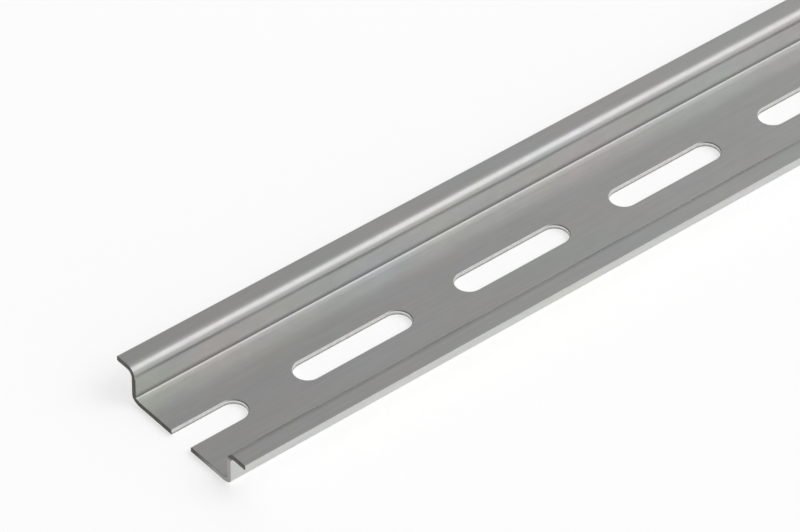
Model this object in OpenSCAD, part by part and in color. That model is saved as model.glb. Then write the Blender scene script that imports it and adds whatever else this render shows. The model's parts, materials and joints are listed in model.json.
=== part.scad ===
// A length of slotted top-hat mounting rail. One strip of sheet steel is rolled into a shallow
// hat section: a flat web, two upright walls and two flanges that turn outwards. Round-ended
// slots are punched along the middle of the web, and a saw cuts the rail to length wherever
// the cut happens to fall in the row of slots.
//
// X runs along the rail, Y across it and Z upwards. The origin is on the web's underside,
// at the middle of the length and of the width.

/* [Section] */
// Width over the two flanges
rail_w = 35; // [30:0.5:50]
// Height from the web's underside to the flanges' tops
rail_h = 7.5; // [6:0.25:15]
// Width over the outer faces of the two walls
channel_w = 27; // [18:0.5:27.5]
// Thickness of the sheet steel
sheet_t = 1; // [0.8:0.05:1.5]
// Radius inside the bends between the web and the walls
low_bend_r = 0.4; // [0.2:0.05:1]
// Radius inside the bends between the walls and the flanges
high_bend_r = 1.1; // [0.4:0.05:1.3]
// Radius to which the corners of the strip's two long edges are dressed
edge_r = 0.15; // [0.05:0.05:0.3]

/* [Length] */
// Length of the rail between its two saw cuts
rail_l = 500; // [120:1:2000]

/* [Slots] */
// Width of a slot, which is also the diameter of its round ends
slot_w = 5.2; // [3:0.1:8]
// Length of a slot over its round ends
slot_l = 25; // [12:0.5:32]
// Distance from one slot's centre to the next one's
slot_pitch = 36; // [34:0.5:60]
// Distance from the -X saw cut to the far end of the first slot. The cut goes through that
// slot wherever this is less than slot_l
notch_l = 13.7; // [4:0.1:20]

/* [Hidden] */
$fn = 64;

// The saw cuts
near_x = -rail_l / 2;
far_x = rail_l / 2;

// The +Y side: its wall, its flange and the flange's tip
wall_y = channel_w / 2 - sheet_t;
flange_z = rail_h - sheet_t;
tip_y = rail_w / 2;
// The centre lines of the bends there. On a narrow flange the high bend shrinks to leave a
// short flat before the tip
low_bend_y = wall_y - low_bend_r;
low_bend_z = sheet_t + low_bend_r;
flange_bend_r = min(high_bend_r, tip_y - 2 * edge_r - channel_w / 2);
high_bend_y = channel_w / 2 + flange_bend_r;
high_bend_z = flange_z - flange_bend_r;

// The row of slots starts at the near cut, and ends with the last slot that begins before
// the far cut
first_slot_x = near_x + notch_l - slot_l / 2;
last_slot = ceil((far_x + slot_l / 2 - first_slot_x) / slot_pitch) - 1;
// How far the punch runs past both faces of the web
punch_over = 1;

// Quarter of a ring about the origin, between +X and +Y of its own plane: the section of
// one right-angle bend, from its inside radius
module bend(inside_r) {
    intersection() {
        difference() {
            circle(r = inside_r + sheet_t);
            circle(r = inside_r);
        }
        square(inside_r + sheet_t);
    }
}

// The flange's flat, from its bend to its tip, whose two corners are rounded
module flange() {
    translate([high_bend_y, flange_z])
        square([tip_y - edge_r - high_bend_y, sheet_t]);
    translate([tip_y - edge_r, flange_z + edge_r])
        square([edge_r, sheet_t - 2 * edge_r]);
    for (z = [flange_z + edge_r, rail_h - edge_r])
        translate([tip_y - edge_r, z])
            circle(r = edge_r);
}

// What stands at the +Y edge of the web, from the low bend out to the flange's tip
module side() {
    translate([low_bend_y, low_bend_z])
        rotate(-90)
            bend(low_bend_r);
    translate([wall_y, low_bend_z])
        square([sheet_t, high_bend_z - low_bend_z]);
    translate([high_bend_y, high_bend_z])
        rotate(90)
            bend(flange_bend_r);
    flange();
}

// The rolled section: width along its own X and height along its own Y
module section() {
    translate([-low_bend_y, 0])
        square([2 * low_bend_y, sheet_t]);
    side();
    mirror([1, 0])
        side();
}

// The punch that makes one slot, centred on the origin
module punch() {
    half_flat = (slot_l - slot_w) / 2;
    translate([0, 0, -punch_over])
        linear_extrude(sheet_t + 2 * punch_over) {
            square([2 * half_flat, slot_w], center = true);
            for (x = [-half_flat, half_flat])
                translate([x, 0])
                    circle(d = slot_w);
        }
}

module rail() {
    color("silver")
        difference() {
            translate([near_x, 0, 0])
                rotate([90, 0, 90])
                    linear_extrude(rail_l)
                        section();
            for (i = [0 : last_slot])
                translate([first_slot_x + i * slot_pitch, 0, 0])
                    punch();
        }
}

rail();
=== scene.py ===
"""A length of slotted top-hat mounting rail in zinc-plated steel, on a pale floor in soft light."""

import json
import math

import bpy
import numpy as np
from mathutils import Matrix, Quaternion, Vector


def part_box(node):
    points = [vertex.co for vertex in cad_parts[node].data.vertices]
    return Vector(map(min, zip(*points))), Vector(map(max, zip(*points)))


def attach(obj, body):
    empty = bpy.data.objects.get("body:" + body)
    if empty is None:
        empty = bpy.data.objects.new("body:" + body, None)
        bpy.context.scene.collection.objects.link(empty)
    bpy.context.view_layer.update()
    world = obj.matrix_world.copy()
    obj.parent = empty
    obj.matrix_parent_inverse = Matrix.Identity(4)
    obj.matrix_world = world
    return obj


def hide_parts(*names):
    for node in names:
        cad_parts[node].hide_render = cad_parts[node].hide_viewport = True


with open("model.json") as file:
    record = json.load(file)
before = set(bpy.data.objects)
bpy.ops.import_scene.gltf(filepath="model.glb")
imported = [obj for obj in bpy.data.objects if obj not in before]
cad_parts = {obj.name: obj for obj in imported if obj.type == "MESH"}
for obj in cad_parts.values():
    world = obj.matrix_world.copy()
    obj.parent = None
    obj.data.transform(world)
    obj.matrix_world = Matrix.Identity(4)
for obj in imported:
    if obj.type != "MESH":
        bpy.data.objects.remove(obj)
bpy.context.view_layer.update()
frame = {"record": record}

# ---------------------------------------------------------------------------------------------
# The rail: one strip of sheet steel, bent by rollers into a hat section. A press punches the
# slots in its web from above, it is zinc-plated and passivated, and a saw cuts it to length.
# ---------------------------------------------------------------------------------------------

# Millimetres. The overall sizes and the row of slots come from the frame.
sheet_t = 1.0
channel_w = 27.0  # over the outer faces of the two walls
low_bend_r = 0.3  # inside the bends between web and walls
lead_r, lead_turn = 2.5, 25  # each of those begins with a slacker curve, through these degrees
high_bend_r = 1.1  # inside the bends between walls and flanges
edge_r = 0.15  # upper corners of the strip's long edges
edge_roll = 0.35  # their lower corners, which the slitter rolled over
rim_roll = 0.22  # the punch drags a slot's upper rim down with it
rim_burr = 0.1  # rounding of the lower rim
shear_depth = 0.45  # the punch shears a slot's wall this far down, and the rest breaks away
saw_ease = 0.09  # rounding of the sawn arrises

low, high = (1000 * np.array(corner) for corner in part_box("rail"))
near_cut, far_cut, tip_y, rail_h = low[0], high[0], high[1], high[2]
slot_rows = [m for m in frame["record"]["mounts"] if m["kind"] == "bolt_pattern"]
spans = sorted((m["dims"]["spacing_x_mm"] for m in slot_rows), reverse=True)
slot_r = slot_rows[0]["dims"]["hole_r_mm"]
half_flat = slot_rows[0]["dims"]["slot_length_mm"] / 2 - slot_r
slot_pitch = (spans[0] - spans[1]) / 2
first_slot = 1000 * slot_rows[0]["pos_m"][0] - spans[0] / 2
slot_count = round(spans[0] / slot_pitch) + 1

lead_sin, lead_cos = math.sin(math.radians(lead_turn)), math.cos(math.radians(lead_turn))
# Where the web's flat meets its bend
web_y = channel_w / 2 - sheet_t - lead_r * lead_sin - low_bend_r * (1 - lead_sin)
half_land = slot_pitch / 2 - half_flat  # from a round end's centre to the middle of the land


def walk(start, heading, legs):
    """Points and outward normals of an outline, as complex numbers.

    A leg is (length, 0, steps) for a straight, or (radius, degrees, steps) for an arc, which
    turns left where degrees is positive. The outward normal is the heading turned a quarter
    left, and an arc moves by its radius times the change of the normal.
    """
    points = [np.array([start])]
    normals = [np.array([1j * np.exp(1j * np.radians(heading))])]
    for size, turn, steps in legs:
        share = np.arange(1, steps + 1) / steps
        at, normal = points[-1][-1], normals[-1][-1]
        turned = normal * np.exp(1j * np.radians(turn) * share)
        if turn:
            points.append(at + np.sign(turn) * size * (normal - turned))
        else:
            points.append(at - 1j * normal * size * share)
        normals.append(turned)
    return np.concatenate(points), np.concatenate(normals)


grids = {"points": [], "normals": [], "sheared": [], "torn": [], "faces": []}


def lay(points, normals, inside_out, sheared=0.0, torn=0.0):
    """Adds a grid of (rows, columns, 3) points and normals, and returns its vertices' numbers."""
    first = sum(len(p) for p in grids["points"])
    numbers = first + np.arange(points.shape[0] * points.shape[1]).reshape(points.shape[:2])
    quads = np.stack([numbers[:-1, :-1], numbers[:-1, 1:], numbers[1:, 1:], numbers[1:, :-1]], -1)
    grids["faces"].append(quads.reshape(-1, 4)[:, ::-1 if inside_out else 1])
    grids["points"].append(points.reshape(-1, 3))
    grids["normals"].append(normals.reshape(-1, 3))
    for name, value in (("sheared", sheared), ("torn", torn)):
        grids[name].append(np.broadcast_to(value, points.shape[:2]).reshape(-1))
    return numbers


# A slot's edge in section, from the underside up round the rim: how far each row stands off
# the slot's outline, its height, its normal, and how much of it is bare sheared steel.
edge, edge_out = walk(complex(rim_burr, 0), 180, [
    (rim_burr, -90, 4), (sheet_t - shear_depth - rim_burr, 0, 2),
    (shear_depth - rim_roll, 0, 2), (rim_roll, -90, 7)])
flat = np.array([1, 0.5, 0.15])  # the flats' rows, as shares of the way from rim to border
rest = np.array([0.15, 0.5, 1])
row_share = np.concatenate([flat, np.zeros(len(edge)), rest])
row_off = np.concatenate([0 * flat, edge.real, 0 * rest])
row_z = np.concatenate([0 * flat, edge.imag, 0 * rest + sheet_t])
row_out = np.concatenate([0 * flat - 1j, edge_out, 0 * rest + 1j])
row_base = np.concatenate([0 * flat + rim_burr, 0 * edge.real, 0 * rest + rim_roll])
row_sheared = np.concatenate([0 * flat, np.clip(-1.25 * edge_out.real, 0, 1), 0 * rest])
row_torn = np.clip((sheet_t - shear_depth - row_z) / 0.1 + 0.5, 0, 1)


def half_slot(start, centre):
    """Lays the web about half a slot, from x = start to the middle of the land beyond centre.

    Columns run out along the slot's +Y side, round its end and back along its -Y side. A column
    has a foot on the slot's middle line and a direction in plan. Its rows lie along that
    direction at the slot's radius plus their own distance off the edge, and the rows of the
    flats share the way that is left to the bend or to the middle of the land, the nearer one.
    """
    out = math.copysign(1, centre - start)
    run = np.linspace(start, centre, 5)
    if start in (near_cut, far_cut):
        eased = saw_ease * (1 - np.cos(np.radians(np.linspace(0, 90, 6))))
        run = np.concatenate([start + out * eased[:-1],
                              np.linspace(start + out * saw_ease, centre, 5)])
    corner = math.degrees(math.atan2(web_y, half_land))
    angle = np.radians(np.concatenate([
        np.linspace(90, corner, 9),
        np.linspace(corner, -corner, 27)[1:],
        np.linspace(-corner, -90, 9)[1:]]))
    reach = np.minimum(half_land / np.maximum(np.abs(np.cos(angle)), 1e-9),
                       web_y / np.maximum(np.abs(np.sin(angle)), 1e-9))
    side = np.ones(len(run) - 1)
    foot = np.concatenate([run[:-1], np.full(len(angle), centre), run[-2::-1]])
    along = np.concatenate([0 * side, out * np.cos(angle), 0 * side])
    across = np.concatenate([side, np.sin(angle), -side])
    reach = np.concatenate([web_y * side, reach, web_y * side])

    stand = slot_r + row_off + row_base
    stand = stand[:, None] * (1 - row_share)[:, None] + reach[None, :] * row_share[:, None]
    ones = np.ones_like(stand)
    points = np.stack([foot + along * stand, across * stand, row_z[:, None] * ones], -1)
    level = row_out.real[:, None]
    normals = np.stack([along * level, across * level, row_out.imag[:, None] * ones], -1)
    numbers = lay(points, normals, out < 0, row_sheared[:, None], row_torn[:, None])
    border = points[-1, points[-1, :, 1] > web_y - 1e-6, 0]
    return numbers, border


ends = [half_slot(near_cut, first_slot - slot_pitch + half_flat)]
for middle in first_slot + slot_pitch * np.arange(slot_count):
    ends.append(half_slot(middle, middle - half_flat))
    ends.append(half_slot(middle, middle + half_flat))
ends.append(half_slot(far_cut, first_slot + slot_pitch * slot_count - half_flat))
stations = np.sort(np.concatenate([border for _, border in ends]))
stations = stations[np.append(True, np.diff(stations) > 1e-6)]

# Each side of the rail in section, from the web's top over the flange and back to its underside.
wall_rise = rail_h - lead_r * (1 - lead_cos) - low_bend_r * lead_cos - high_bend_r - 2 * sheet_t
flange_flat = tip_y - edge_r - channel_w / 2 - high_bend_r
side, side_out = walk(complex(web_y, sheet_t), 0, [
    (lead_r, lead_turn, 8), (low_bend_r, 90 - lead_turn, 10), (wall_rise, 0, 2),
    (high_bend_r + sheet_t, -90, 20), (flange_flat, 0, 2),
    (edge_r, -90, 4), (sheet_t - edge_r - edge_roll, 0, 2), (edge_roll, -90, 6),
    (flange_flat + edge_r - edge_roll, 0, 2), (high_bend_r, 90, 12), (wall_rise, 0, 2),
    (low_bend_r + sheet_t, lead_turn - 90, 14), (lead_r + sheet_t, -lead_turn, 8)])
sides = []
for hand in (1, -1):
    x, _ = np.meshgrid(stations, side.real)
    points = np.stack([x, hand * side.real[:, None] + 0 * x, side.imag[:, None] + 0 * x], -1)
    normals = np.stack([
        0 * x, hand * side_out.real[:, None] + 0 * x, side_out.imag[:, None] + 0 * x], -1)
    sides.append(lay(points, normals, hand < 0))

# The sawn faces: each cut shows two, one beside each edge of the slot that it goes through.
web_rings = {0: ends[0][0], -1: ends[-1][0]}
caps = []
for cut, web in web_rings.items():
    for hand, column in ((1, 0), (-1, -1)):
        ring = np.concatenate([web[:, column], sides[0 if hand > 0 else 1][1:-1, cut]])
        caps.append(ring[::1 if (hand > 0) == (cut == 0) else -1])

# Rows that two grids share become one, and then the sawn arrises are eased: a point nearer to a
# cut than saw_ease sinks along its normal by the height of that arc, and its normal turns.
points, normals = np.concatenate(grids["points"]), np.concatenate(grids["normals"])
_, kept, number = np.unique(np.floor(points * 1e4 + 0.317).astype(np.int64), axis=0,
                            return_index=True, return_inverse=True)
number = number.reshape(-1)
points, normals = points[kept], normals[kept]
sheared, torn = (np.concatenate(grids[name])[kept] for name in ("sheared", "torn"))
way = np.where(points[:, 0] > 0, 1.0, -1.0)
gap = np.where(points[:, 0] > 0, far_cut - points[:, 0], points[:, 0] - near_cut)
turn = np.clip(1 - gap / saw_ease, 0, 1)
points -= normals * (saw_ease * (1 - np.sqrt(1 - turn ** 2)))[:, None]
normals *= np.sqrt(1 - turn ** 2)[:, None]
normals[:, 0] += way * turn
# Downward-facing arrises take the dark sawn colour over more of their curve than upper ones, so each cut's
# lower edges read as dark lines.
sawn = np.where(normals[:, 2] < 0, np.minimum(3 * turn, 1), turn ** 2)

faces = [*number[np.concatenate(grids["faces"])].tolist(), *(number[c].tolist() for c in caps)]
mesh = bpy.data.meshes.new("rail_sheet")
mesh.from_pydata((points / 1000).tolist(), [], faces)
mesh.shade_smooth()
mesh.normals_split_custom_set_from_vertices(normals.tolist())
for name, values in (("sheared", sheared), ("torn", torn), ("sawn", sawn)):
    mesh.attributes.new(name, "FLOAT", "POINT").data.foreach_set("value", values.astype(np.float32))
rail = bpy.data.objects.new("rail_sheet", mesh)
bpy.context.collection.objects.link(rail)


def linear(hex_colour):
    """The linear colour of an sRGB hex value such as "A0B1C2"."""
    share = np.array([int(hex_colour[i:i + 2], 16) / 255 for i in (0, 2, 4)])
    share = np.where(share <= 0.04045, share / 12.92, ((share + 0.055) / 1.055) ** 2.4)
    return (*share.tolist(), 1.0)


def add(tree, kind, inputs=None, **settings):
    """Adds a node of one kind. Each of inputs is a value, or the socket that feeds it."""
    node = tree.nodes.new(kind)
    for name, value in settings.items():
        setattr(node, name, value)
    for name, value in (inputs or {}).items():
        if isinstance(name, str):
            socket = next(s for s in node.inputs if s.enabled and s.name == name)
        else:
            socket = node.inputs[name]
        if isinstance(value, bpy.types.NodeSocket):
            tree.links.new(value, socket)
        else:
            socket.default_value = value
    return node


def result(node):
    """The output in use of a node that has one for each kind of value."""
    return next(socket for socket in node.outputs if socket.enabled)


# Zinc-plated steel, bright and clear-passivated. The eye gets a satin grey that the rollers
# have drawn into faint lengthwise streaks, with pale pink, olive and teal clouds over it.
zinc = bpy.data.materials.new("zinc_plated_steel")
zinc.use_nodes = True
tree = zinc.node_tree
tree.nodes.clear()
place = add(tree, "ShaderNodeTexCoord").outputs["Object"]
sheared_here = add(tree, "ShaderNodeAttribute", attribute_name="sheared").outputs["Fac"]
torn_here = add(tree, "ShaderNodeAttribute", attribute_name="torn").outputs["Fac"]
sawn_here = add(tree, "ShaderNodeAttribute", attribute_name="sawn").outputs["Fac"]


def grain(along, across, up, detail=2.0, roughness=0.5):
    """Noise whose cells measure about that many millimetres along X, Y and Z."""
    stretched = add(tree, "ShaderNodeVectorMath", {
        0: place, 1: (1000 / along, 1000 / across, 1000 / up)}, operation="MULTIPLY")
    return add(tree, "ShaderNodeTexNoise", {
        "Vector": result(stretched), "Scale": 1.0, "Detail": detail, "Roughness": roughness}).outputs


# The passivation's clouds: hues a few per cent off the grey, drawn out along the strip.
clouds = grain(22, 7, 7)
hue = add(tree, "ShaderNodeVectorMath", {
    0: clouds["Color"], 1: (0.12, 0.08, 0.13), 2: (0.94, 0.96, 0.935)}, operation="MULTIPLY_ADD")
# Rolling streaks, about half a millimetre wide. They draw light and dark lines in the bends
# and walls, where a small tilt finds another part of the studio.
long_streaks = grain(70, 0.55, 0.55)["Fac"]
short_streaks = grain(7, 0.7, 0.7, detail=3.0)["Fac"]
streaks = add(tree, "ShaderNodeMix", {"Factor": 0.5, "A": long_streaks, "B": short_streaks})
# The plating's own matt spots, which dull it unevenly.
spots = grain(2.2, 1.5, 1.5, detail=4.0, roughness=0.65)["Fac"]

plated = add(tree, "ShaderNodeMix", {"Factor": 1.0, "A": linear("CDCDCB"), "B": result(hue)},
             data_type="RGBA", blend_type="MULTIPLY")
streaked = add(tree, "ShaderNodeMapRange", {"Value": result(streaks), "From Min": 0.3, "From Max": 0.7,
                                            "To Min": 0.95, "To Max": 1.05})
plated = add(tree, "ShaderNodeMix", {"Factor": 1.0, "A": result(plated), "B": result(streaked)},
             data_type="RGBA", blend_type="MULTIPLY")
# A slot's wall: the punch burnishes the upper part bright, and scores it downwards. Below, the
# steel tears away and stays dull.
scores = grain(0.35, 0.35, 3.0)["Fac"]
burnished = add(tree, "ShaderNodeMix", {
    "Factor": scores, "A": linear("D2D2D0"), "B": linear("F2F2EF")}, data_type="RGBA")
broken = add(tree, "ShaderNodeMix", {
    "Factor": scores, "A": linear("A09F9C"), "B": linear("C4C3C0")}, data_type="RGBA")
slot_wall = add(tree, "ShaderNodeMix", {
    "Factor": torn_here, "A": result(burnished), "B": result(broken)}, data_type="RGBA")
skin = add(tree, "ShaderNodeMix", {"Factor": sheared_here, "A": result(plated), "B": result(slot_wall)},
           data_type="RGBA")
# The sawn ends are unplated: dark steel with the blade's fine marks across the sheet. On the
# -Y side of the rail, below the flange, the sawn face is coloured lighter.
blade = grain(0.3, 0.25, 2.0, detail=3.0)["Fac"]
at = add(tree, "ShaderNodeSeparateXYZ", {"Vector": place}).outputs
toward_minus_y = add(tree, "ShaderNodeMapRange", {"Value": at["Y"], "From Min": -0.004, "From Max": -0.009})
below = add(tree, "ShaderNodeMapRange", {"Value": at["Z"], "From Min": 0.0066, "From Max": 0.0056})
lighter_low_minus_y = add(tree, "ShaderNodeMath", {0: result(toward_minus_y), 1: result(below)}, operation="MULTIPLY")
bare_steel = add(tree, "ShaderNodeMix", {
    "Factor": blade, "A": linear("343230"), "B": linear("76746F")}, data_type="RGBA")
sawn_face = add(tree, "ShaderNodeMix", {
    "Factor": result(lighter_low_minus_y), "A": result(bare_steel), "B": linear("ABAAA7")}, data_type="RGBA")
colour = add(tree, "ShaderNodeMix", {
    "Factor": sawn_here, "A": result(skin), "B": result(sawn_face)}, data_type="RGBA")

satin = add(tree, "ShaderNodeMapRange", {"Value": spots, "From Min": 0.3, "From Max": 0.7,
                                         "To Min": 0.32, "To Max": 0.38})
rough = add(tree, "ShaderNodeMix", {"Factor": torn_here, "A": result(satin), "B": 0.55})
rough = add(tree, "ShaderNodeMix", {"Factor": sawn_here, "A": result(rough), "B": 0.5})
relief = add(tree, "ShaderNodeMath", {0: spots, 1: 0.4, 2: result(streaks)}, operation="MULTIPLY_ADD")
bump = add(tree, "ShaderNodeBump", {"Strength": 1.0, "Distance": 0.000012, "Height": result(relief)})
shader = add(tree, "ShaderNodeBsdfPrincipled", {
    "Base Color": result(colour), "Metallic": 1.0, "Roughness": result(rough),
    "Normal": bump.outputs["Normal"]})
add(tree, "ShaderNodeOutputMaterial", {"Surface": shader.outputs["BSDF"]})
rail.data.materials.append(zinc)

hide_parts("rail")
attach(rail, "root")

# ---------------------------------------------------------------------------------------------
# The floor: a wide sheet of white card. It shows white to the eye and in the metal, and it
# keeps the rail's shadow. From below it can't be seen, so that the rail's underside shows.
# ---------------------------------------------------------------------------------------------
floor_half = 60.0  # metres
floor_mesh = bpy.data.meshes.new("floor")
floor_mesh.from_pydata([(x * floor_half, y * floor_half, -0.0001)
                        for x, y in ((-1, -1), (1, -1), (1, 1), (-1, 1))], [], [(0, 1, 2, 3)])
floor = bpy.data.objects.new("floor", floor_mesh)
bpy.context.collection.objects.link(floor)
card = bpy.data.materials.new("white_card")
card.use_nodes = True
tree = card.node_tree
tree.nodes.clear()
ray = add(tree, "ShaderNodeLightPath").outputs
seen = add(tree, "ShaderNodeMath", {0: ray["Is Camera Ray"], 1: ray["Is Glossy Ray"]}, operation="MAXIMUM")
seen = add(tree, "ShaderNodeMath", {0: seen.outputs[0], 1: ray["Is Transmission Ray"]}, operation="MAXIMUM")
glow = add(tree, "ShaderNodeMath", {0: seen.outputs[0], 1: 0.6}, operation="MULTIPLY")
matt = add(tree, "ShaderNodeBsdfDiffuse", {"Color": linear("F3F3F3")})
light = add(tree, "ShaderNodeEmission", {"Strength": glow.outputs[0]})
both = add(tree, "ShaderNodeAddShader", {0: matt.outputs[0], 1: light.outputs[0]})
clear = add(tree, "ShaderNodeBsdfTransparent")
back = add(tree, "ShaderNodeNewGeometry").outputs["Backfacing"]
mixed = add(tree, "ShaderNodeMixShader", {0: back, 1: both.outputs[0], 2: clear.outputs[0]})
add(tree, "ShaderNodeOutputMaterial", {"Surface": mixed.outputs[0]})
floor_mesh.materials.append(card)

# ---------------------------------------------------------------------------------------------
# The light: a grey studio round the rail, paler on its +X and -Y sides and low down beyond -Y,
# and one wide soft lamp above.
# ---------------------------------------------------------------------------------------------
world = bpy.data.worlds.new("studio")
bpy.context.scene.world = world
world.use_nodes = True
tree = world.node_tree
tree.nodes.clear()
direction = add(tree, "ShaderNodeTexCoord").outputs["Generated"]
toward = add(tree, "ShaderNodeSeparateXYZ", {"Vector": direction}).outputs
lit_side = add(tree, "ShaderNodeVectorMath", {0: direction, 1: (0.75, -0.3, 0.0)}, operation="DOT_PRODUCT")
wall = add(tree, "ShaderNodeMapRange", {
    "Value": lit_side.outputs["Value"], "From Min": -0.185, "From Max": 0.315,
    "To Min": 0.1, "To Max": 0.6})
low_down = add(tree, "ShaderNodeMapRange", {"Value": toward["Z"], "From Min": 0.05, "From Max": 0.3,
                                            "To Min": 1.0, "To Max": 0.0}, interpolation_type="SMOOTHSTEP")
board = add(tree, "ShaderNodeMapRange", {"Value": toward["Y"], "From Min": -0.5, "From Max": -0.85,
                                         "To Min": 0.0, "To Max": 0.5}, interpolation_type="SMOOTHSTEP")
level = add(tree, "ShaderNodeMath", {
    0: result(low_down), 1: result(board), 2: result(wall)}, operation="MULTIPLY_ADD")
sky = add(tree, "ShaderNodeBackground", {"Color": linear("FFFFFF"), "Strength": level.outputs[0]})
add(tree, "ShaderNodeOutputWorld", {"Surface": sky.outputs[0]})


def lamp(name, bearing, distance, size, power):
    """A soft square lamp of that size in metres, in direction bearing from the rail's middle."""
    lamp_data = bpy.data.lights.new(name, "AREA")
    lamp_data.size, lamp_data.energy = size, power
    lamp_object = bpy.data.objects.new(name, lamp_data)
    bpy.context.collection.objects.link(lamp_object)
    bearing = Vector(bearing).normalized()
    lamp_object.location = bearing * distance
    lamp_object.rotation_mode = "QUATERNION"
    lamp_object.rotation_quaternion = bearing.to_track_quat("Z", "Y")
    lamp_object.visible_camera = False


lamp("soft_lamp", (0.484, -0.422, 0.767), 3.0, 2.2, 13.4)

# ---------------------------------------------------------------------------------------------
# The camera: it looks down at the -X end of the rail through a long lens.
# ---------------------------------------------------------------------------------------------
camera = bpy.data.objects.new("camera", bpy.data.cameras.new("camera"))
bpy.context.collection.objects.link(camera)
camera.data.sensor_width = 36
camera.data.lens = 218.3
aim = Vector((near_cut + 56.59, 10.71, 1.0)) / 1000
heading, fall, roll = math.radians(49.965), math.radians(41.129), math.radians(0.553)
look = Vector((math.cos(heading) * math.cos(fall), math.sin(heading) * math.cos(fall), -math.sin(fall)))
camera.location = aim - 0.8468 * look
camera.rotation_mode = "QUATERNION"
camera.rotation_quaternion = look.to_track_quat("-Z", "Y") @ Quaternion((0, 0, 1), roll)
camera.data.clip_start, camera.data.clip_end = 0.01, 200
bpy.context.scene.camera = camera
bpy.context.scene.view_settings.view_transform = "Standard"
